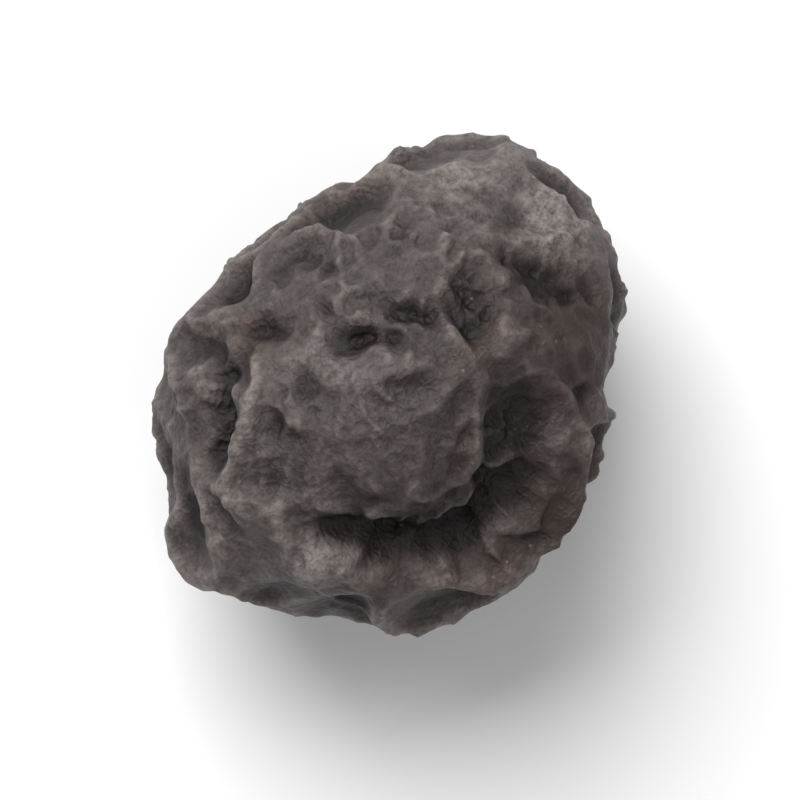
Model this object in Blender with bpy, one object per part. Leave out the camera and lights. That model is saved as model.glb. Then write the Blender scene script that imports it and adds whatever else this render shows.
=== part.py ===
"""A black peppercorn: one dried berry, shrunk on its seed, with a raised net of wrinkles.

Seen from above, +X runs along the berry's length, from the stalk scar to the tip.
Skin features are sized in millimetres and turned into metres when the mesh is made.
"""

import math

import bmesh
import bpy
import numpy as np
from mathutils import Vector, noise

MM = 0.001

# Driving dimensions of the whole berry, in millimetres
LENGTH = 6.4
WIDTH = 5.0
HEIGHT = 4.8
FLAT_SINK = 0.22
CUT_TOLERANCE = 0.01

# The skin is shaped on a ball of 20 times the square of this many faces, then thinned out to fewer
DIVISIONS = 60
FACES = 9500

# The broad shape: swellings and flattenings as (x, y, z direction), height and reach in millimetres
SWELLINGS = (
    ((0.85, 0.48, 0.15), 0.20, 1.1),
    ((0.90, -0.42, 0.00), -0.26, 1.0),
    ((-0.50, 0.87, 0.10), 0.26, 0.9),
    ((-0.98, 0.17, 0.05), 0.24, 0.9),
    ((-0.80, 0.00, 0.50), 0.18, 0.9),
    ((-0.88, -0.46, -0.15), -0.46, 0.9),
    ((0.58, -0.80, -0.10), -0.48, 1.1),
    ((-0.55, -0.80, -0.25), -0.30, 0.8),
    ((0.00, -0.88, -0.48), -0.30, 1.2),
    ((0.10, 0.90, -0.50), -0.20, 1.3),
    ((0.85, 0.10, -0.50), -0.25, 1.2),
    ((-0.80, 0.35, -0.50), -0.20, 1.2),
)

# The net of wrinkles over the whole skin: each bend is a push and the length over which it winds
BEND_SEED = 10
NET_SEED = 17
NET_TRIES = 4000
NET_SPACING = 0.82
NET_HEIGHT = 0.26
NET_FOLD_WIDTH = 0.12
NET_SINK = (-0.04, 0.14)
NET_BOWL_DEPTH = 0.08
NET_BOWL_REACH = 0.38
NET_BENDS = ((0.42, 1.1), (0.14, 0.45))
NET_FADE_LENGTH = 1.3
NET_FADE_RANGE = (-0.35, 0.20)
NET_LEAST = 0.35

# Folds, furrows and pits on the upper side, as seen from above: (x, y) points, height or depth, half width
RIM_FOLD = (
    (
        (-2.06, -0.80), (-1.50, -1.58), (-0.86, -2.05), (-0.13, -2.28),
        (0.57, -2.14), (1.10, -1.75), (1.50, -1.15),
    ),
    0.32, 0.15,
)
MOUND_FOLD = (((-0.38, 1.32), (-0.45, 0.88), (-0.28, 0.42), (0.28, 0.08), (0.90, -0.16)), 0.11, 0.20)
SIDE_FOLD = (((-0.80, 1.62), (-1.18, 1.25), (-1.55, 0.92), (-2.00, 0.66), (-2.40, 0.30)), 0.22, 0.18)
OUTER_FOLD = (((-1.10, 2.28), (-1.50, 2.02), (-2.05, 1.45), (-2.50, 0.98)), 0.12, 0.14)
SLOPE_FOLD = (((-0.45, 1.95), (0.35, 1.45), (1.20, 1.05), (2.05, 0.55), (2.60, 0.15)), 0.10, 0.26)
DEEP_FURROW = (((-1.84, -0.42), (-1.62, -0.96), (-1.24, -1.45), (-0.66, -1.74), (-0.12, -1.80)), -0.50, 0.29)
WIDE_HOLLOW = (((-0.85, -1.50), (-0.20, -1.62), (0.45, -1.52), (0.88, -1.22), (1.15, -0.80)), -0.34, 0.40)
FLANK_FURROW = (((-1.55, -0.68), (-1.08, -1.08), (-0.50, -1.28), (0.10, -1.26), (0.62, -0.95)), -0.28, 0.27)
SIDE_FURROW = (((-1.10, 1.98), (-1.48, 1.58), (-1.88, 1.14), (-2.30, 0.82)), -0.26, 0.16)
PIT_FURROW = (((-0.75, 1.35), (0.05, 0.85), (0.94, 0.55), (1.60, 0.15), (2.15, -0.15)), -0.07, 0.20)
FIRST_PIT = (((-0.96, 1.86), (-0.72, 1.72), (-0.56, 1.46)), -0.08, 0.18)
SECOND_PIT = (((-0.18, 1.08), (0.10, 0.88), (0.40, 0.54)), -0.11, 0.13)
THIRD_PIT = (((0.60, 1.14), (0.78, 0.74), (0.86, 0.26)), -0.06, 0.13)
FOURTH_PIT = (((1.86, 0.40), (2.16, -0.02), (2.38, -0.54)), -0.14, 0.17)
SHORT_PIT = (((0.00, 1.76), (0.08, 1.46), (0.02, 1.18)), -0.08, 0.11)
FOLDS = (
    RIM_FOLD, MOUND_FOLD, SIDE_FOLD, OUTER_FOLD, SLOPE_FOLD, DEEP_FURROW, WIDE_HOLLOW, FLANK_FURROW,
    SIDE_FURROW, PIT_FURROW, FIRST_PIT, SECOND_PIT, THIRD_PIT, FOURTH_PIT, SHORT_PIT,
)

# Single knobs on the upper side: (x, y), height, reach
KNOBS = (
    ((-0.46, -0.02), 0.19, 0.86),
    ((-2.12, -0.60), 0.28, 0.28),
    ((2.66, 0.24), 0.18, 0.32),
)
FOLD_STEPS = 32
FOLD_TAPER = 0.5
FOLD_BENDS = ((0.20, 0.70), (0.08, 0.28))
CLEARING = 0.55
CLEARING_REACH = 0.40

# Stretches of the upper side that dried nearly smooth: (x, y), share of the net taken away, reach
SMOOTH_PATCHES = (
    ((1.05, 1.30), 0.88, 0.95),
    ((0.00, 1.75), 0.78, 0.75),
    ((2.10, 1.10), 0.92, 0.75),
    ((-1.60, 0.45), 0.92, 0.50),
    ((1.38, 0.36), 0.92, 0.42),
    ((1.85, -0.85), 0.65, 0.80),
    ((-0.45, -0.30), 0.80, 0.85),
    ((0.85, -1.20), 0.80, 0.65),
    ((-2.50, 0.05), 0.55, 0.60),
)

# The stalk scar at one end and the dried tip at the other
SCAR_DIRECTION = (-0.96, 0.12, -0.22)
SCAR_RADIUS = 0.46
SCAR_RIM = 0.10
SCAR_RIM_WIDTH = 0.12
SCAR_DEPTH = 0.20
SCAR_FLOOR_SHARE = 0.3
SCAR_CLEARING_SHARE = 2.0
TIP_DIRECTION = (0.98, -0.05, -0.18)
TIP_HEIGHT = 0.16
TIP_RADIUS = 0.30

# The skin is pressed smooth below the first of these heights, and wrinkled in full above the second
PRESSED_HEIGHTS = (0.25, 0.60)

SKIN_COLOUR = (0.045, 0.036, 0.033, 1.0)
SKIN_ROUGHNESS = 0.62
SHARP_EDGE = math.radians(60.0)


def clear_scene():
    for thing in list(bpy.data.objects):
        bpy.data.objects.remove(thing)


def unit(vectors):
    """The vectors, each made one long."""
    vectors = np.asarray(vectors, float)
    return vectors / np.linalg.norm(vectors, axis=-1, keepdims=True)


def smooth_step(low, high, values):
    """0 below low, 1 above high, and a smooth rise between."""
    share = np.clip((values - low) / (high - low), 0.0, 1.0)
    return share * share * (3.0 - 2.0 * share)


def hump(gap, reach):
    """1 at no gap, sloping softly away to almost 0 at twice the reach."""
    return np.exp(-((gap / reach) ** 2))


def plateau(gap, reach):
    """Nearly 1 for most of the reach, then quickly down to 0."""
    return np.exp(-((gap / reach) ** 4))


def egg_surface(directions):
    """The point of the plain ellipsoid that lies in each direction."""
    half = np.array([LENGTH, WIDTH, HEIGHT]) / 2.0
    reach = 1.0 / np.linalg.norm(directions / half, axis=-1, keepdims=True)
    return directions * reach


def seen_from_above(plan):
    """The points of the ellipsoid's upper side under the given (x, y) points."""
    plan = np.asarray(plan, float)
    share = (plan[:, 0] / (LENGTH / 2.0)) ** 2 + (plan[:, 1] / (WIDTH / 2.0)) ** 2
    height = HEIGHT / 2.0 * np.sqrt(np.clip(1.0 - share, 0.0, None))
    return egg_surface(unit(np.column_stack([plan, height])))


def curve_through(points, steps):
    """A smooth curve through the points, as closely set points on it."""
    points = np.asarray(points, float)
    padded = np.vstack([2 * points[0] - points[1], points, 2 * points[-1] - points[-2]])
    curve = []
    for i in range(1, len(padded) - 2):
        before, start, end, after = padded[i - 1:i + 3]
        for t in np.linspace(0.0, 1.0, steps, endpoint=False):
            curve.append(
                0.5 * (2 * start + (end - before) * t
                       + (2 * before - 5 * start + 4 * end - after) * t**2
                       + (3 * start - before - 3 * end + after) * t**3)
            )
    curve.append(points[-1])
    return np.array(curve)


def distances(points, others):
    """The distance from every point to every one of the others."""
    square = (points**2).sum(1)[:, None] + (others**2).sum(1)[None, :] - 2.0 * points @ others.T
    return np.sqrt(np.clip(square, 0.0, None))


def broad_relief(points):
    """Swellings and flattenings of the whole body."""
    relief = np.zeros(len(points))
    for direction, height, reach in SWELLINGS:
        middle = egg_surface(unit([direction]))
        relief += height * hump(distances(points, middle)[:, 0], reach)
    return relief


def noise_at(points, length):
    """A smooth random number from -1 to 1 at each point, which changes over the given length."""
    return np.array([noise.noise(Vector(point) / length) for point in points])


def cell_centres(seed, spacing):
    """The middles of a net's meshes, scattered over the skin no nearer to each other than the spacing."""
    draw = np.random.default_rng(seed)
    tries = egg_surface(unit(draw.normal(size=(NET_TRIES, 3))))
    kept = tries[:1]
    for point in tries[1:]:
        if np.linalg.norm(kept - point, axis=1).min() > spacing:
            kept = np.vstack([kept, point])
    return kept


def bent(points, bends):
    """The points, pushed about so that straight lines of the net become winding ones."""
    moved = points.copy()
    for push, length in bends:
        moved += push * np.array([noise.noise_vector(Vector(point) / length) for point in points])
    return moved


def rounded_border(shares):
    """0 well inside a cell, rising to 1 in a rounded crest along its border."""
    border = 2.0 * (1.0 - (shares**2).sum(axis=1))
    return np.sin(0.5 * np.pi * np.clip(border, 0.0, 1.0))


def net_relief(points):
    """Rounded wrinkles along the borders of scattered cells, with a sunken bowl in each cell."""
    centres = cell_centres(NET_SEED, NET_SPACING)
    away = distances(bent(points, NET_BENDS), centres)
    shares = np.exp((away.min(axis=1, keepdims=True) - away) / NET_FOLD_WIDTH)
    shares /= shares.sum(axis=1, keepdims=True)
    bowl = NET_BOWL_DEPTH * (shares * hump(away, NET_BOWL_REACH)).sum(axis=1)
    sinks = np.random.default_rng(NET_SEED + 1).uniform(*NET_SINK, len(centres))
    fade = smooth_step(*NET_FADE_RANGE, noise_at(points, NET_FADE_LENGTH))
    strength = NET_LEAST + (1.0 - NET_LEAST) * fade
    return strength * NET_HEIGHT * rounded_border(shares) - bowl - shares @ sinks


def fold_relief(points):
    """The larger folds, furrows, knobs and pits of the upper side, and the share of the net they remove."""
    relief = np.zeros(len(points))
    clearing = np.zeros(len(points))
    points = bent(points, FOLD_BENDS)
    for plan, height, half_width in FOLDS:
        line = seen_from_above(curve_through(plan, FOLD_STEPS))
        along = (np.arange(len(line)) + 1.0) / (len(line) + 1.0)
        taper = np.sin(np.pi * along) ** FOLD_TAPER
        away = distances(points, line)
        nearest = away.argmin(axis=1)
        gap = away[np.arange(len(points)), nearest]
        relief += height * taper[nearest] * hump(gap, half_width)
        clearing = np.maximum(clearing, CLEARING * hump(gap, CLEARING_REACH))
    for plan, height, reach in KNOBS:
        gap = distances(points, seen_from_above([plan]))[:, 0]
        relief += height * hump(gap, reach)
        clearing = np.maximum(clearing, CLEARING * hump(gap, reach + CLEARING_REACH))
    for plan, share, reach in SMOOTH_PATCHES:
        gap = distances(points, seen_from_above([plan]))[:, 0]
        clearing = np.maximum(clearing, share * plateau(gap, reach))
    return relief, clearing


def end_relief(points):
    """The ringed scar of the stalk at one end and the small dried tip at the other."""
    away = distances(points, egg_surface(unit([SCAR_DIRECTION])))[:, 0]
    ring = SCAR_RIM * hump(away - SCAR_RADIUS, SCAR_RIM_WIDTH)
    dip = SCAR_DEPTH * (1.0 - smooth_step(SCAR_FLOOR_SHARE * SCAR_RADIUS, SCAR_RADIUS, away))
    tip_away = distances(points, egg_surface(unit([TIP_DIRECTION])))[:, 0]
    tip = TIP_HEIGHT * hump(tip_away, TIP_RADIUS)
    clearing = plateau(away, SCAR_CLEARING_SHARE * SCAR_RADIUS)
    return ring - dip + tip, clearing


def skin(directions):
    """The points of the wrinkled skin, in millimetres, round the middle of the berry."""
    points = egg_surface(directions)
    folds, fold_clearing = fold_relief(points)
    ends, end_clearing = end_relief(points)
    net = net_relief(points) * (1.0 - fold_clearing) * (1.0 - end_clearing)
    wrinkled = smooth_step(*PRESSED_HEIGHTS, points[:, 2] + HEIGHT / 2.0)
    relief = (broad_relief(points) + net + folds + ends) * wrinkled
    return points + directions * relief[:, None]


def sphere_mesh(divisions):
    """A ball of evenly sized triangles."""
    mesh = bmesh.new()
    bmesh.ops.create_icosphere(mesh, subdivisions=1, radius=1.0)
    bmesh.ops.subdivide_edges(mesh, edges=mesh.edges[:], cuts=divisions - 1, use_grid_fill=True)
    bmesh.ops.triangulate(mesh, faces=mesh.faces[:])
    return mesh


def fit_to_size(points):
    """The points, scaled along each axis to the driving dimensions."""
    low, high = points.min(axis=0), points.max(axis=0)
    size = np.array([LENGTH, WIDTH, HEIGHT + FLAT_SINK])
    return (points - (low + high) / 2.0) * size / (high - low)


def cut_resting_spot(mesh):
    """Cuts the lowest skin away level, fills the cut flat and sets it at height zero."""
    level = (-(HEIGHT + FLAT_SINK) / 2.0 + FLAT_SINK) * MM
    everything = mesh.verts[:] + mesh.edges[:] + mesh.faces[:]
    bmesh.ops.bisect_plane(
        mesh, geom=everything, dist=CUT_TOLERANCE * MM, plane_co=(0, 0, level), plane_no=(0, 0, 1),
        clear_inner=True,
    )
    border = [edge for edge in mesh.edges if edge.is_boundary]
    for vert in {vert for edge in border for vert in edge.verts}:
        vert.co.z = level
    bmesh.ops.holes_fill(mesh, edges=border, sides=0)
    bmesh.ops.translate(mesh, verts=mesh.verts[:], vec=(0, 0, -level))


def skin_material():
    material = bpy.data.materials.new("peppercorn_skin")
    material.use_nodes = True
    shader = material.node_tree.nodes["Principled BSDF"]
    shader.inputs["Base Color"].default_value = SKIN_COLOUR
    shader.inputs["Roughness"].default_value = SKIN_ROUGHNESS
    shader.inputs["Metallic"].default_value = 0.0
    return material


def object_of(name, mesh):
    """A new object that holds a mesh made from the edited one."""
    data = bpy.data.meshes.new(name)
    mesh.to_mesh(data)
    mesh.free()
    made = bpy.data.objects.new(name, data)
    bpy.context.scene.collection.objects.link(made)
    return made


def thinned(mesh, faces):
    """The mesh with its faces collapsed where the skin is plainest, down to the number asked."""
    count = len(mesh.faces)
    dense = object_of("dense_skin", mesh)
    thinner = dense.modifiers.new("thin_out", "DECIMATE")
    thinner.ratio = faces / count
    evaluated = dense.evaluated_get(bpy.context.evaluated_depsgraph_get())
    thin = bmesh.new()
    thin.from_mesh(evaluated.to_mesh())
    evaluated.to_mesh_clear()
    bpy.data.objects.remove(dense)
    return thin


def make_peppercorn():
    noise.seed_set(BEND_SEED)
    mesh = sphere_mesh(DIVISIONS)
    directions = unit([tuple(vert.co) for vert in mesh.verts])
    for vert, place in zip(mesh.verts, fit_to_size(skin(directions)) * MM):
        vert.co = place
    mesh = thinned(mesh, FACES)
    cut_resting_spot(mesh)
    bmesh.ops.recalc_face_normals(mesh, faces=mesh.faces[:])
    peppercorn = object_of("peppercorn", mesh)
    peppercorn.data.shade_smooth()
    peppercorn.data.set_sharp_from_angle(angle=SHARP_EDGE)
    peppercorn.data.materials.append(skin_material())
    return peppercorn


clear_scene()
make_peppercorn()
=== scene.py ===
"""The looks of one black peppercorn: its finely wrinkled skin, a pale floor, soft light and the camera.

The skin is shaped by the same formulas as the solid, on a finer mesh, with finer wrinkles added.
Skin features are sized in millimetres and turned into metres when the mesh is made.
"""

import math

import bmesh
import bpy
import numpy as np
from mathutils import Matrix, Vector, kdtree, noise


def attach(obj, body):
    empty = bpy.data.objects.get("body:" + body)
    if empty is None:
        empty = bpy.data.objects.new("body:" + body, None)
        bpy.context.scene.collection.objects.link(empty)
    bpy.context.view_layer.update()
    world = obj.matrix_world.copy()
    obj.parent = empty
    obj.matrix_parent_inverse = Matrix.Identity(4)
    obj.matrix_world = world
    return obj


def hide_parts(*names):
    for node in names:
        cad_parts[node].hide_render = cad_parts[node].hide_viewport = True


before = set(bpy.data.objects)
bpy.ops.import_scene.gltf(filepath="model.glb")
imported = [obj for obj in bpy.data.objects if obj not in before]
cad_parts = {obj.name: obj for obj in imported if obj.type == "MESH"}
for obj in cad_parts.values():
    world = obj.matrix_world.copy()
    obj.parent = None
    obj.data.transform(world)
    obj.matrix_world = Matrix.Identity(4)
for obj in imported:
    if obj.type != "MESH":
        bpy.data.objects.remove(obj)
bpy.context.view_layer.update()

MM = 0.001

# Driving dimensions of the whole berry, in millimetres, as the solid has them
LENGTH = 6.4
WIDTH = 5.0
HEIGHT = 4.8
FLAT_SINK = 0.22
CUT_TOLERANCE = 0.002

# How finely the skin is divided: the faces are 20 times the square of this
DIVISIONS = 96

# The broad shape: swellings and flattenings as (x, y, z direction), height and reach in millimetres
SWELLINGS = (
    ((0.85, 0.48, 0.15), 0.20, 1.1),
    ((0.90, -0.42, 0.00), -0.26, 1.0),
    ((-0.50, 0.87, 0.10), 0.26, 0.9),
    ((-0.98, 0.17, 0.05), 0.24, 0.9),
    ((-0.80, 0.00, 0.50), 0.18, 0.9),
    ((-0.88, -0.46, -0.15), -0.46, 0.9),
    ((0.58, -0.80, -0.10), -0.48, 1.1),
    ((-0.55, -0.80, -0.25), -0.30, 0.8),
    ((0.00, -0.88, -0.48), -0.30, 1.2),
    ((0.10, 0.90, -0.50), -0.20, 1.3),
    ((0.85, 0.10, -0.50), -0.25, 1.2),
    ((-0.80, 0.35, -0.50), -0.20, 1.2),
)

# The net of wrinkles over the whole skin: each bend is a push and the length over which it winds
BEND_SEED = 10
NET_SEED = 17
NET_TRIES = 4000
NET_SPACING = 0.82
NET_HEIGHT = 0.26
NET_FOLD_WIDTH = 0.12
NET_SINK = (-0.04, 0.14)
NET_BOWL_DEPTH = 0.08
NET_BOWL_REACH = 0.38
NET_BENDS = ((0.42, 1.1), (0.14, 0.45))
NET_FADE_LENGTH = 1.3
NET_FADE_RANGE = (-0.35, 0.20)
NET_LEAST = 0.35

# Folds, furrows and pits on the upper side, as seen from above: (x, y) points, height or depth, half width
RIM_FOLD = (
    (
        (-2.06, -0.80), (-1.50, -1.58), (-0.86, -2.05), (-0.13, -2.28),
        (0.57, -2.14), (1.10, -1.75), (1.50, -1.15),
    ),
    0.32, 0.15,
)
MOUND_FOLD = (((-0.38, 1.32), (-0.45, 0.88), (-0.28, 0.42), (0.28, 0.08), (0.90, -0.16)), 0.11, 0.20)
SIDE_FOLD = (((-0.80, 1.62), (-1.18, 1.25), (-1.55, 0.92), (-2.00, 0.66), (-2.40, 0.30)), 0.22, 0.18)
OUTER_FOLD = (((-1.10, 2.28), (-1.50, 2.02), (-2.05, 1.45), (-2.50, 0.98)), 0.12, 0.14)
SLOPE_FOLD = (((-0.45, 1.95), (0.35, 1.45), (1.20, 1.05), (2.05, 0.55), (2.60, 0.15)), 0.10, 0.26)
DEEP_FURROW = (((-1.84, -0.42), (-1.62, -0.96), (-1.24, -1.45), (-0.66, -1.74), (-0.12, -1.80)), -0.50, 0.29)
WIDE_HOLLOW = (((-0.85, -1.50), (-0.20, -1.62), (0.45, -1.52), (0.88, -1.22), (1.15, -0.80)), -0.34, 0.40)
FLANK_FURROW = (((-1.55, -0.68), (-1.08, -1.08), (-0.50, -1.28), (0.10, -1.26), (0.62, -0.95)), -0.28, 0.27)
SIDE_FURROW = (((-1.10, 1.98), (-1.48, 1.58), (-1.88, 1.14), (-2.30, 0.82)), -0.26, 0.16)
PIT_FURROW = (((-0.75, 1.35), (0.05, 0.85), (0.94, 0.55), (1.60, 0.15), (2.15, -0.15)), -0.07, 0.20)
FIRST_PIT = (((-0.96, 1.86), (-0.72, 1.72), (-0.56, 1.46)), -0.08, 0.18)
SECOND_PIT = (((-0.18, 1.08), (0.10, 0.88), (0.40, 0.54)), -0.11, 0.13)
THIRD_PIT = (((0.60, 1.14), (0.78, 0.74), (0.86, 0.26)), -0.06, 0.13)
FOURTH_PIT = (((1.86, 0.40), (2.16, -0.02), (2.38, -0.54)), -0.14, 0.17)
SHORT_PIT = (((0.00, 1.76), (0.08, 1.46), (0.02, 1.18)), -0.08, 0.11)
FOLDS = (
    RIM_FOLD, MOUND_FOLD, SIDE_FOLD, OUTER_FOLD, SLOPE_FOLD, DEEP_FURROW, WIDE_HOLLOW, FLANK_FURROW,
    SIDE_FURROW, PIT_FURROW, FIRST_PIT, SECOND_PIT, THIRD_PIT, FOURTH_PIT, SHORT_PIT,
)

# Single knobs on the upper side: (x, y), height, reach
KNOBS = (
    ((-0.46, -0.02), 0.19, 0.86),
    ((-2.12, -0.60), 0.28, 0.28),
    ((2.66, 0.24), 0.18, 0.32),
)
FOLD_STEPS = 32
FOLD_TAPER = 0.5
FOLD_BENDS = ((0.20, 0.70), (0.08, 0.28))
CLEARING = 0.55
CLEARING_REACH = 0.40

# Stretches of the upper side that dried nearly smooth: (x, y), share of the net taken away, reach
SMOOTH_PATCHES = (
    ((1.05, 1.30), 0.88, 0.95),
    ((0.00, 1.75), 0.78, 0.75),
    ((2.10, 1.10), 0.92, 0.75),
    ((-1.60, 0.45), 0.92, 0.50),
    ((1.38, 0.36), 0.92, 0.42),
    ((1.85, -0.85), 0.65, 0.80),
    ((-0.45, -0.30), 0.80, 0.85),
    ((0.85, -1.20), 0.80, 0.65),
    ((-2.50, 0.05), 0.55, 0.60),
)

# The stalk scar at one end and the dried tip at the other
SCAR_DIRECTION = (-0.96, 0.12, -0.22)
SCAR_RADIUS = 0.46
SCAR_RIM = 0.10
SCAR_RIM_WIDTH = 0.12
SCAR_DEPTH = 0.20
SCAR_FLOOR_SHARE = 0.3
SCAR_CLEARING_SHARE = 2.0
TIP_DIRECTION = (0.98, -0.05, -0.18)
TIP_HEIGHT = 0.16
TIP_RADIUS = 0.30

# The skin is pressed smooth below the first of these heights, and wrinkled in full above the second
PRESSED_HEIGHTS = (0.25, 0.60)

# The finer net that crosses the floors between the wrinkles
FINE_SEED = 53
FINE_SPACING = 0.30
FINE_NEIGHBOURS = 8
FINE_HEIGHT = 0.055
FINE_FOLD_WIDTH = 0.045
FINE_BENDS = ((0.16, 0.42), (0.05, 0.16))
FINE_FADE_LENGTH = 0.7
FINE_FADE_RANGE = (-0.25, 0.30)
FINE_LEAST = 0.15

# Small winding wrinkles: the length over which they wind, the span of noise they fill, and their height
CRINKLES = ((0.50, 0.16, 0.044), (0.24, 0.20, 0.023))
CRINKLE_BENDS = ((0.22, 0.60), (0.08, 0.22))
CRINKLE_FADE_LENGTH = 0.9
CRINKLE_FADE_SHIFT = 6.4
GRAIN_LENGTH = 0.12
GRAIN_HEIGHT = 0.008

# How far round a place its height is averaged, in passes over the mesh, to find the crests and the hollows
CREST_PASSES = 50
HOLLOW_PASSES = 500

# How far over or under that average a place begins to be a crest or a hollow, and wholly is one
CREST_RANGE = (0.000, 0.060)
HOLLOW_RANGE = (0.000, 0.105)

# Painted highlights, where the skin is made pale, and stretches that are browner and darkened with painted
# shade: (x, y) from above, share and reach
PAINTED_HIGHLIGHT_PATCHES = (
    ((2.70, 0.25), 1.00, 0.55),
    ((-2.14, -0.62), 0.85, 0.32),
    ((-2.45, 0.30), 0.20, 0.70),
    ((-0.30, 0.76), 0.50, 0.38),
    ((-0.58, 0.98), 0.75, 0.34),
    ((-1.00, -0.15), 0.20, 0.40),
    ((-1.10, 1.28), 0.30, 0.34),
    ((-1.65, 0.48), 0.32, 0.34),
    ((2.20, 1.25), 0.85, 0.55),
)
# Browner skin with painted shade, on the right flank, the lower rim and the slopes into the broad hollow
BROWN_PAINTED_SHADE_PATCHES = (
    ((2.10, -0.95), 0.95, 1.15),
    ((0.40, -2.15), 0.95, 0.80),
    ((-0.60, -2.00), 0.60, 0.50),
    ((-0.75, -1.05), 0.60, 0.42),
    ((0.10, -1.05), 0.60, 0.42),
    ((-1.48, -1.35), 0.75, 0.42),
)

# Painted shade on the floor of the broad hollow: (x, y) from above, share and reach
PAINTED_SHADE_PATCHES = (((-1.20, -1.38), 0.45, 0.36), ((0.32, -1.52), 0.40, 0.40))

# Colours of the skin
CHARCOAL = (0.0500, 0.0396, 0.0380)
BROWN = (0.0580, 0.0350, 0.0285)
PLUM = (0.0510, 0.0385, 0.0425)
CREST_DUST = (0.200, 0.167, 0.155)
# Painted shade: the colour that the hollows are darkened towards
PAINTED_HOLLOW_SHADE = (0.0075, 0.0036, 0.0030)
# Painted highlight: the pale colour of the bright spots
PAINTED_HIGHLIGHT = (0.310, 0.268, 0.248)
# Browner skin colour, darkened as painted shade
BROWN_PAINTED_SHADE = (0.0310, 0.0172, 0.0140)
FLECK = (0.26, 0.21, 0.17)

# The skin's patterns as waves to the millimetre, number of finer waves and their share
TINT_WAVES = (0.55, 4.0, 0.6)
MOTTLE_WAVES = (4.6, 6.0, 0.7)
SPECKLE_WAVES = (16.0, 4.0, 0.75)
DUST_WAVES = (9.0, 6.0, 0.75)
GRAIN_WAVES = (14.0, 6.0, 0.72)
LINE_WAVES = (2.4, 3.0, 0.5)
LINE_PATCH_WAVES = (1.3, 2.0, 0.5)
FLECKS_A_MILLIMETRE = 4.5
PORES_A_MILLIMETRE = 9.0

# What each pattern does: stops as place on the pattern and colour, a plain number for a grey
TINT = ((0.36, PLUM), (0.48, CHARCOAL), (0.58, CHARCOAL), (0.68, BROWN))
MOTTLE = ((0.30, 0.62), (0.50, 1.0), (0.70, 1.42))
SPECKLE = ((0.30, 0.50), (0.50, 1.0), (0.70, 1.60))
DUST = ((0.38, 0.10), (0.62, 0.85))
FLECKS = ((0.05, 1.0), (0.11, 0.0))
FLECK_PATCHES = ((0.50, 0.0), (0.60, 0.5))
PORES = ((0.0, 0.35), (0.25, 0.0))
LINE_PATCHES = ((0.42, 0.0), (0.62, 0.16))
ROUGHNESS = ((0.30, 0.40), (0.70, 0.62))
SPECULAR = 0.38
BUMP_STRENGTH = 0.8
BUMP_HEIGHT = 0.024

# Fine shrink lines follow the skin's own height, so many to the millimetre, and wander a little
LINES_A_MILLIMETRE = 14.0
LINE_WANDER = 3.0

# The floor and the lights, in metres: offset to the photograph's right, up and to the viewer, size; watts
FLOOR_RADIUS = 0.4
FLOOR_SEGMENTS = 96
FLOOR_GREY = (0.90, 0.90, 0.90, 1.0)
FLOOR_ROUGHNESS = 0.8
KEY_LIGHT = ((-0.095, 0.215, 0.290), 0.26, 1.65)
FILL_LIGHT = ((0.220, -0.180, 0.200), 0.30, 0.16)
SKY_COLOUR = (1.0, 1.0, 1.0, 1.0)
SKY_STRENGTH = 0.38

# The camera looks straight down, turned so that the berry's length runs up to the right as photographed.
# Its lens, its sensor and the view across are in millimetres, its near and far limits in metres.
CAMERA_TURN = math.radians(-44.0)
CAMERA_LENS = 250.0
CAMERA_SENSOR = 36.0
CAMERA_NEAR = 0.001
CAMERA_FAR = 5.0
VIEW_ACROSS = 9.2


def unit(vectors):
    """The vectors, each made one long."""
    vectors = np.asarray(vectors, float)
    return vectors / np.linalg.norm(vectors, axis=-1, keepdims=True)


def smooth_step(low, high, values):
    """0 below low, 1 above high, and a smooth rise between."""
    share = np.clip((values - low) / (high - low), 0.0, 1.0)
    return share * share * (3.0 - 2.0 * share)


def hump(gap, reach):
    """1 at no gap, sloping softly away to almost 0 at twice the reach."""
    return np.exp(-((gap / reach) ** 2))


def plateau(gap, reach):
    """Nearly 1 for most of the reach, then quickly down to 0."""
    return np.exp(-((gap / reach) ** 4))


def egg_surface(directions):
    """The point of the plain ellipsoid that lies in each direction."""
    half = np.array([LENGTH, WIDTH, HEIGHT]) / 2.0
    reach = 1.0 / np.linalg.norm(directions / half, axis=-1, keepdims=True)
    return directions * reach


def seen_from_above(plan):
    """The points of the ellipsoid's upper side under the given (x, y) points."""
    plan = np.asarray(plan, float)
    share = (plan[:, 0] / (LENGTH / 2.0)) ** 2 + (plan[:, 1] / (WIDTH / 2.0)) ** 2
    height = HEIGHT / 2.0 * np.sqrt(np.clip(1.0 - share, 0.0, None))
    return egg_surface(unit(np.column_stack([plan, height])))


def curve_through(points, steps):
    """A smooth curve through the points, as closely set points on it."""
    points = np.asarray(points, float)
    padded = np.vstack([2 * points[0] - points[1], points, 2 * points[-1] - points[-2]])
    curve = []
    for i in range(1, len(padded) - 2):
        before, start, end, after = padded[i - 1:i + 3]
        for t in np.linspace(0.0, 1.0, steps, endpoint=False):
            curve.append(
                0.5 * (2 * start + (end - before) * t
                       + (2 * before - 5 * start + 4 * end - after) * t**2
                       + (3 * start - before - 3 * end + after) * t**3)
            )
    curve.append(points[-1])
    return np.array(curve)


def distances(points, others):
    """The distance from every point to every one of the others."""
    square = (points**2).sum(1)[:, None] + (others**2).sum(1)[None, :] - 2.0 * points @ others.T
    return np.sqrt(np.clip(square, 0.0, None))


def broad_relief(points):
    """Swellings and flattenings of the whole body."""
    relief = np.zeros(len(points))
    for direction, height, reach in SWELLINGS:
        middle = egg_surface(unit([direction]))
        relief += height * hump(distances(points, middle)[:, 0], reach)
    return relief


def noise_at(points, length):
    """A smooth random number from -1 to 1 at each point, which changes over the given length."""
    return np.array([noise.noise(Vector(point) / length) for point in points])


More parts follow.
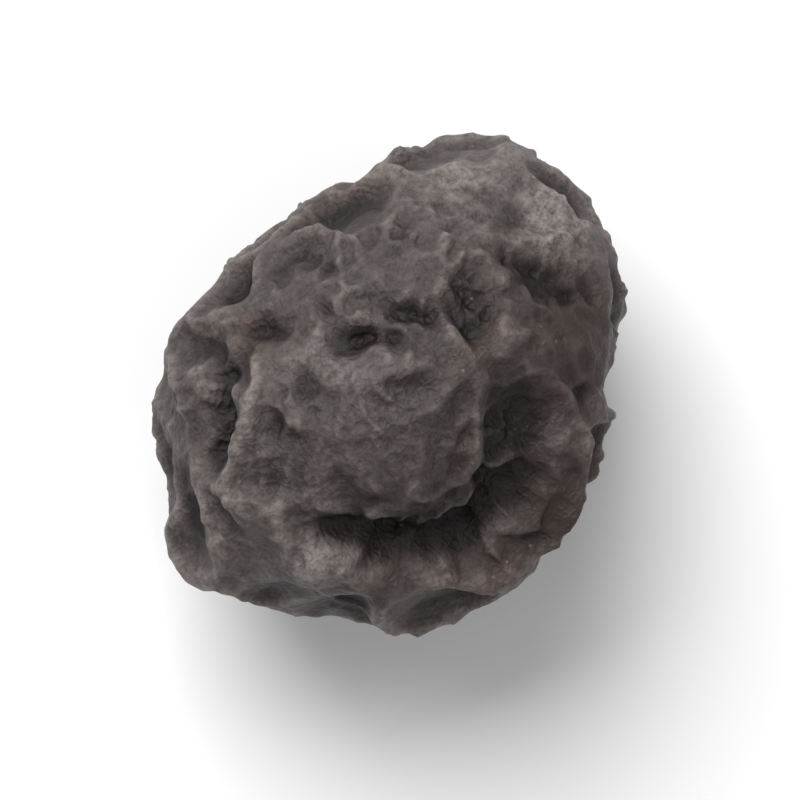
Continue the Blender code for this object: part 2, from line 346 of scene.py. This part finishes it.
def cell_centres(seed, spacing):
    """The middles of a net's meshes, scattered over the skin no nearer to each other than the spacing."""
    draw = np.random.default_rng(seed)
    tries = egg_surface(unit(draw.normal(size=(NET_TRIES, 3))))
    kept = tries[:1]
    for point in tries[1:]:
        if np.linalg.norm(kept - point, axis=1).min() > spacing:
            kept = np.vstack([kept, point])
    return kept


def bent(points, bends):
    """The points, pushed about so that straight lines of the net become winding ones."""
    moved = points.copy()
    for push, length in bends:
        moved += push * np.array([noise.noise_vector(Vector(point) / length) for point in points])
    return moved


def rounded_border(shares):
    """0 well inside a cell, rising to 1 in a rounded crest along its border."""
    border = 2.0 * (1.0 - (shares**2).sum(axis=1))
    return np.sin(0.5 * np.pi * np.clip(border, 0.0, 1.0))


def net_relief(points):
    """Rounded wrinkles along the borders of scattered cells, with a sunken bowl in each cell."""
    centres = cell_centres(NET_SEED, NET_SPACING)
    away = distances(bent(points, NET_BENDS), centres)
    shares = np.exp((away.min(axis=1, keepdims=True) - away) / NET_FOLD_WIDTH)
    shares /= shares.sum(axis=1, keepdims=True)
    bowl = NET_BOWL_DEPTH * (shares * hump(away, NET_BOWL_REACH)).sum(axis=1)
    sinks = np.random.default_rng(NET_SEED + 1).uniform(*NET_SINK, len(centres))
    fade = smooth_step(*NET_FADE_RANGE, noise_at(points, NET_FADE_LENGTH))
    strength = NET_LEAST + (1.0 - NET_LEAST) * fade
    return strength * NET_HEIGHT * rounded_border(shares) - bowl - shares @ sinks


def fold_relief(points):
    """The larger folds, furrows, knobs and pits of the upper side, and the share of the net they remove."""
    relief = np.zeros(len(points))
    clearing = np.zeros(len(points))
    points = bent(points, FOLD_BENDS)
    for plan, height, half_width in FOLDS:
        line = seen_from_above(curve_through(plan, FOLD_STEPS))
        along = (np.arange(len(line)) + 1.0) / (len(line) + 1.0)
        taper = np.sin(np.pi * along) ** FOLD_TAPER
        away = distances(points, line)
        nearest = away.argmin(axis=1)
        gap = away[np.arange(len(points)), nearest]
        relief += height * taper[nearest] * hump(gap, half_width)
        clearing = np.maximum(clearing, CLEARING * hump(gap, CLEARING_REACH))
    for plan, height, reach in KNOBS:
        gap = distances(points, seen_from_above([plan]))[:, 0]
        relief += height * hump(gap, reach)
        clearing = np.maximum(clearing, CLEARING * hump(gap, reach + CLEARING_REACH))
    for plan, share, reach in SMOOTH_PATCHES:
        gap = distances(points, seen_from_above([plan]))[:, 0]
        clearing = np.maximum(clearing, share * plateau(gap, reach))
    return relief, clearing


def end_relief(points):
    """The ringed scar of the stalk at one end and the small dried tip at the other."""
    away = distances(points, egg_surface(unit([SCAR_DIRECTION])))[:, 0]
    ring = SCAR_RIM * hump(away - SCAR_RADIUS, SCAR_RIM_WIDTH)
    dip = SCAR_DEPTH * (1.0 - smooth_step(SCAR_FLOOR_SHARE * SCAR_RADIUS, SCAR_RADIUS, away))
    tip_away = distances(points, egg_surface(unit([TIP_DIRECTION])))[:, 0]
    tip = TIP_HEIGHT * hump(tip_away, TIP_RADIUS)
    clearing = plateau(away, SCAR_CLEARING_SHARE * SCAR_RADIUS)
    return ring - dip + tip, clearing


def nearest_shares(points, centres, fold_width):
    """How much each point belongs to each of its few nearest cells."""
    tree = kdtree.KDTree(len(centres))
    for number, centre in enumerate(centres):
        tree.insert(centre, number)
    tree.balance()
    away = np.array([[gap for _, _, gap in tree.find_n(point, FINE_NEIGHBOURS)] for point in points])
    shares = np.exp((away[:, :1] - away) / fold_width)
    return shares / shares.sum(axis=1, keepdims=True)


def fine_relief(points):
    """The finer net, the small winding wrinkles and the grain of the dried skin."""
    centres = cell_centres(FINE_SEED, FINE_SPACING)
    shares = nearest_shares(bent(points, FINE_BENDS), centres, FINE_FOLD_WIDTH)
    fade = smooth_step(*FINE_FADE_RANGE, noise_at(points, FINE_FADE_LENGTH))
    strength = FINE_LEAST + (1.0 - FINE_LEAST) * fade
    relief = strength * FINE_HEIGHT * rounded_border(shares)
    wound = bent(points, CRINKLE_BENDS)
    crinkled = 0.5 + 0.5 * noise_at(points + CRINKLE_FADE_SHIFT, CRINKLE_FADE_LENGTH)
    for length, width, height in CRINKLES:
        relief += crinkled * height * np.exp(-((noise_at(wound, length) / width) ** 2))
    return relief - relief.mean() + GRAIN_HEIGHT * noise_at(points, GRAIN_LENGTH)


def skin_relief(points):
    """The skin's height over the ellipsoid, first as the solid has it, then with the finer wrinkles."""
    folds, fold_clearing = fold_relief(points)
    ends, end_clearing = end_relief(points)
    net = net_relief(points) * (1.0 - fold_clearing) * (1.0 - end_clearing)
    wrinkled = smooth_step(*PRESSED_HEIGHTS, points[:, 2] + HEIGHT / 2.0)
    coarse = (broad_relief(points) + net + folds + ends) * wrinkled
    return coarse, coarse + fine_relief(points) * wrinkled


def sphere_mesh(divisions):
    """A ball of evenly sized triangles."""
    mesh = bmesh.new()
    bmesh.ops.create_icosphere(mesh, subdivisions=1, radius=1.0)
    bmesh.ops.subdivide_edges(mesh, edges=mesh.edges[:], cuts=divisions - 1, use_grid_fill=True)
    bmesh.ops.triangulate(mesh, faces=mesh.faces[:])
    return mesh


def local_means(values, edges, passes):
    """The values, averaged with their neighbours' along the edges as many times as asked."""
    ends = np.concatenate([edges, edges[:, ::-1]])
    count = np.bincount(ends[:, 0], minlength=len(values))
    mean = values.copy()
    for _ in range(passes):
        around = np.bincount(ends[:, 0], weights=mean[ends[:, 1]], minlength=len(values)) / count
        mean = 0.5 * (mean + around)
    return mean


def cut_resting_spot(mesh):
    """Cuts the lowest skin away level, fills the cut flat and sets it at height zero."""
    level = (-(HEIGHT + FLAT_SINK) / 2.0 + FLAT_SINK) * MM
    everything = mesh.verts[:] + mesh.edges[:] + mesh.faces[:]
    bmesh.ops.bisect_plane(
        mesh, geom=everything, dist=CUT_TOLERANCE * MM, plane_co=(0, 0, level), plane_no=(0, 0, 1),
        clear_inner=True,
    )
    border = [edge for edge in mesh.edges if edge.is_boundary]
    for vert in {vert for edge in border for vert in edge.verts}:
        vert.co.z = level
    bmesh.ops.holes_fill(mesh, edges=border, sides=0)
    bmesh.ops.translate(mesh, verts=mesh.verts[:], vec=(0, 0, -level))


def patches(points, places):
    """How far each point lies within the soft patches set by (x, y) from above, share and reach."""
    within = np.zeros(len(points))
    for plan, share, reach in places:
        gap = distances(points, seen_from_above([plan]))[:, 0]
        within = np.maximum(within, share * hump(gap, reach))
    return within


def mesh_edges(mesh):
    """The numbers of the two points at the ends of each edge."""
    return np.array([(edge.verts[0].index, edge.verts[1].index) for edge in mesh.edges])


def skin_values(mesh, points, relief):
    """Where the skin is a crest, where painted shade darkens the hollows, where it is painted pale as
    highlights or browner and darker with painted shade, and how high it stands.
    """
    edges = mesh_edges(mesh)
    # The hollow value is painted shade: the skin is darkened where it lies below its surroundings and on the
    # broad hollow's floor
    hollow = smooth_step(*HOLLOW_RANGE, local_means(relief, edges, HOLLOW_PASSES) - relief)
    return {
        "crest": smooth_step(*CREST_RANGE, relief - local_means(relief, edges, CREST_PASSES)),
        "hollow": np.maximum(hollow, patches(points, PAINTED_SHADE_PATCHES)),
        "pale": patches(points, PAINTED_HIGHLIGHT_PATCHES),
        "warm": patches(points, BROWN_PAINTED_SHADE_PATCHES),
        "relief": relief,
    }


def make_skin():
    """The finely wrinkled berry, which keeps the values that its colours need at its points."""
    noise.seed_set(BEND_SEED)
    mesh = sphere_mesh(DIVISIONS)
    directions = unit([tuple(vert.co) for vert in mesh.verts])
    points = egg_surface(directions)
    coarse, fine = skin_relief(points)
    solid = points + directions * coarse[:, None]
    low, high = solid.min(axis=0), solid.max(axis=0)
    size = np.array([LENGTH, WIDTH, HEIGHT + FLAT_SINK])
    places = (points + directions * fine[:, None] - (low + high) / 2.0) * size / (high - low)
    for name, values in skin_values(mesh, points, fine).items():
        layer = mesh.verts.layers.float.new(name)
        for vert, value in zip(mesh.verts, values):
            vert[layer] = value
    for vert, place in zip(mesh.verts, places * MM):
        vert.co = place
    cut_resting_spot(mesh)
    bmesh.ops.recalc_face_normals(mesh, faces=mesh.faces[:])
    data = bpy.data.meshes.new("peppercorn_skin")
    mesh.to_mesh(data)
    mesh.free()
    data.shade_smooth()
    skin = bpy.data.objects.new("peppercorn_skin", data)
    bpy.context.scene.collection.objects.link(skin)
    return skin


def add_node(tree, kind, inputs=None, **settings):
    """A new node with its settings and its inputs' values, or the sockets that feed them."""
    made = tree.nodes.new(kind)
    for name, value in settings.items():
        setattr(made, name, value)
    for name, value in (inputs or {}).items():
        if isinstance(value, bpy.types.NodeSocket):
            tree.links.new(value, made.inputs[name])
        else:
            made.inputs[name].default_value = value
    return made


def ramp_of(tree, source, stops):
    """A colour ramp with the given stops of place and colour, or place and grey."""
    made = add_node(tree, "ShaderNodeValToRGB", {"Fac": source})
    elements = made.color_ramp.elements
    while len(elements) < len(stops):
        elements.new(0.5)
    for element, (place, colour) in zip(elements, stops):
        element.position = place
        element.color = (*(colour if isinstance(colour, tuple) else (colour,) * 3), 1.0)
    return made.outputs["Color"]


def mixed(tree, share, first, second, blend="MIX"):
    """A colour between two others, by a share."""
    made = add_node(tree, "ShaderNodeMix", data_type="RGBA", blend_type=blend)
    for socket, value in ((made.inputs[0], share), (made.inputs[6], first), (made.inputs[7], second)):
        if isinstance(value, bpy.types.NodeSocket):
            tree.links.new(value, socket)
        elif isinstance(value, tuple):
            socket.default_value = (*value, 1.0)
        else:
            socket.default_value = value
    return made.outputs[2]


def calculated(tree, operation, first, second):
    """What an operation makes of two values or sockets."""
    made = add_node(tree, "ShaderNodeMath", {0: first, 1: second}, operation=operation)
    return made.outputs[0]


def kept_value(tree, name):
    """One of the values that the skin keeps at its points."""
    return add_node(tree, "ShaderNodeAttribute", attribute_name=name).outputs["Fac"]


def noise_node(tree, place, waves):
    """Procedural noise from 0 to 1."""
    scale, detail, share = waves
    settings = {"Vector": place, "Scale": scale, "Detail": detail, "Roughness": share}
    return add_node(tree, "ShaderNodeTexNoise", settings).outputs["Fac"]


def skin_colour(tree, place, mottle):
    """Charcoal with browner and plummier stretches, dusty crests, browner stretches with painted shade,
    painted highlights, hollows painted nearly black as shade, a few pale flecks.
    """
    tint = noise_node(tree, place, TINT_WAVES)
    colour = ramp_of(tree, tint, TINT)
    colour = mixed(tree, 1.0, colour, ramp_of(tree, mottle, MOTTLE), "MULTIPLY")
    speckle = ramp_of(tree, noise_node(tree, place, SPECKLE_WAVES), SPECKLE)
    colour = mixed(tree, 1.0, colour, speckle, "MULTIPLY")

    dust = ramp_of(tree, noise_node(tree, place, DUST_WAVES), DUST)
    crest = calculated(tree, "MULTIPLY", kept_value(tree, "crest"), dust)
    colour = mixed(tree, crest, colour, CREST_DUST)
    # Browner skin, darkened with painted shade
    colour = mixed(tree, kept_value(tree, "warm"), colour, BROWN_PAINTED_SHADE)
    # Painted highlights, broken up by the dust pattern
    pale = calculated(tree, "MULTIPLY", kept_value(tree, "pale"), dust)
    colour = mixed(tree, pale, colour, PAINTED_HIGHLIGHT)
    # Painted shade in the hollows
    colour = mixed(tree, kept_value(tree, "hollow"), colour, PAINTED_HOLLOW_SHADE)

    settings = {"Vector": place, "Scale": FLECKS_A_MILLIMETRE, "Randomness": 1.0}
    cells = add_node(tree, "ShaderNodeTexVoronoi", settings)
    fleck = ramp_of(tree, cells.outputs["Distance"], FLECKS)
    fleck = calculated(tree, "MULTIPLY", fleck, ramp_of(tree, tint, FLECK_PATCHES))
    return mixed(tree, fleck, colour, FLECK)


def shrink_lines(tree, place):
    """Fine lines along the folds, in some stretches of the skin."""
    wander = calculated(tree, "MULTIPLY", noise_node(tree, place, LINE_WAVES), LINE_WANDER)
    height = calculated(tree, "MULTIPLY", kept_value(tree, "relief"), LINES_A_MILLIMETRE)
    turns = calculated(tree, "ADD", height, wander)
    waves = calculated(tree, "SINE", calculated(tree, "MULTIPLY", turns, math.tau), 0.0)
    where = ramp_of(tree, noise_node(tree, place, LINE_PATCH_WAVES), LINE_PATCHES)
    return calculated(tree, "MULTIPLY", waves, where)


def skin_bump(tree, place):
    """Pores, grain and fine shrink lines that run along the folds."""
    settings = {"Vector": place, "Scale": PORES_A_MILLIMETRE, "Randomness": 1.0}
    pores = add_node(tree, "ShaderNodeTexVoronoi", settings, feature="DISTANCE_TO_EDGE")
    pores = ramp_of(tree, pores.outputs["Distance"], PORES)
    height = calculated(tree, "ADD", pores, noise_node(tree, place, GRAIN_WAVES))
    height = calculated(tree, "ADD", height, shrink_lines(tree, place))
    settings = {"Height": height, "Strength": BUMP_STRENGTH, "Distance": BUMP_HEIGHT * MM}
    return add_node(tree, "ShaderNodeBump", settings).outputs["Normal"]


def new_material(name):
    """A new material that holds one plain shader."""
    material = bpy.data.materials.new(name)
    material.use_nodes = True
    return material


def skin_material():
    """Dry wrinkled skin, unevenly coloured and unevenly rough."""
    material = new_material("peppercorn_skin")
    tree = material.node_tree
    shader = tree.nodes["Principled BSDF"]
    place = add_node(tree, "ShaderNodeTexCoord").outputs["Object"]
    settings = {0: place, "Scale": 1.0 / MM}
    place = add_node(tree, "ShaderNodeVectorMath", settings, operation="SCALE").outputs[0]
    mottle = noise_node(tree, place, MOTTLE_WAVES)
    tree.links.new(skin_colour(tree, place, mottle), shader.inputs["Base Color"])
    tree.links.new(ramp_of(tree, mottle, ROUGHNESS), shader.inputs["Roughness"])
    tree.links.new(skin_bump(tree, place), shader.inputs["Normal"])
    shader.inputs["Specular IOR Level"].default_value = SPECULAR
    return material


def floor_material():
    """Plain pale grey, hardly glossy."""
    material = new_material("pale_floor")
    shader = material.node_tree.nodes["Principled BSDF"]
    shader.inputs["Base Color"].default_value = FLOOR_GREY
    shader.inputs["Roughness"].default_value = FLOOR_ROUGHNESS
    return material


def make_floor():
    """A round floor, wide enough to fill the view from any side."""
    mesh = bmesh.new()
    bmesh.ops.create_circle(mesh, cap_ends=True, radius=FLOOR_RADIUS, segments=FLOOR_SEGMENTS)
    data = bpy.data.meshes.new("floor")
    mesh.to_mesh(data)
    mesh.free()
    data.materials.append(floor_material())
    floor = bpy.data.objects.new("floor", data)
    bpy.context.scene.collection.objects.link(floor)


def photo_axes():
    """The photograph's right and up directions, on the level."""
    right = Vector((math.cos(CAMERA_TURN), math.sin(CAMERA_TURN), 0.0))
    up = Vector((-math.sin(CAMERA_TURN), math.cos(CAMERA_TURN), 0.0))
    return right, up


def make_camera():
    """A camera straight above the berry, far enough to see it with little perspective."""
    right, up = photo_axes()
    camera = bpy.data.objects.new("camera", bpy.data.cameras.new("camera"))
    camera.data.lens = CAMERA_LENS
    camera.data.sensor_width = CAMERA_SENSOR
    middle = Vector((0.0, 0.0, HEIGHT / 2.0 * MM))
    distance = VIEW_ACROSS * MM * CAMERA_LENS / CAMERA_SENSOR
    turn = Matrix((right, up, (0.0, 0.0, 1.0))).transposed().to_4x4()
    camera.matrix_world = Matrix.Translation(middle + Vector((0.0, 0.0, distance))) @ turn
    camera.data.clip_start = CAMERA_NEAR
    camera.data.clip_end = CAMERA_FAR
    bpy.context.scene.collection.objects.link(camera)
    bpy.context.scene.camera = camera


def make_light(name, offset, size, watts):
    """A square soft light that faces the berry."""
    right, up = photo_axes()
    lamp = bpy.data.lights.new(name, "AREA")
    lamp.shape = "SQUARE"
    lamp.size = size
    lamp.energy = watts
    light = bpy.data.objects.new(name, lamp)
    light.location = right * offset[0] + up * offset[1] + Vector((0.0, 0.0, offset[2]))
    light.rotation_mode = "QUATERNION"
    light.rotation_quaternion = light.location.to_track_quat("Z", "Y")
    bpy.context.scene.collection.objects.link(light)


def make_sky():
    """Even white light from all round."""
    sky = bpy.data.worlds.new("soft_white")
    sky.use_nodes = True
    background = sky.node_tree.nodes["Background"]
    background.inputs["Color"].default_value = SKY_COLOUR
    background.inputs["Strength"].default_value = SKY_STRENGTH
    bpy.context.scene.world = sky


def dress_peppercorn():
    """Puts the finely wrinkled skin in the place of the plain solid."""
    skin = make_skin()
    skin.data.materials.append(skin_material())
    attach(skin, "root")
    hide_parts("peppercorn")


bpy.context.scene.view_settings.view_transform = "Standard"
make_sky()
make_light("key_light", *KEY_LIGHT)
make_light("fill_light", *FILL_LIGHT)
make_camera()
make_floor()
dress_peppercorn()
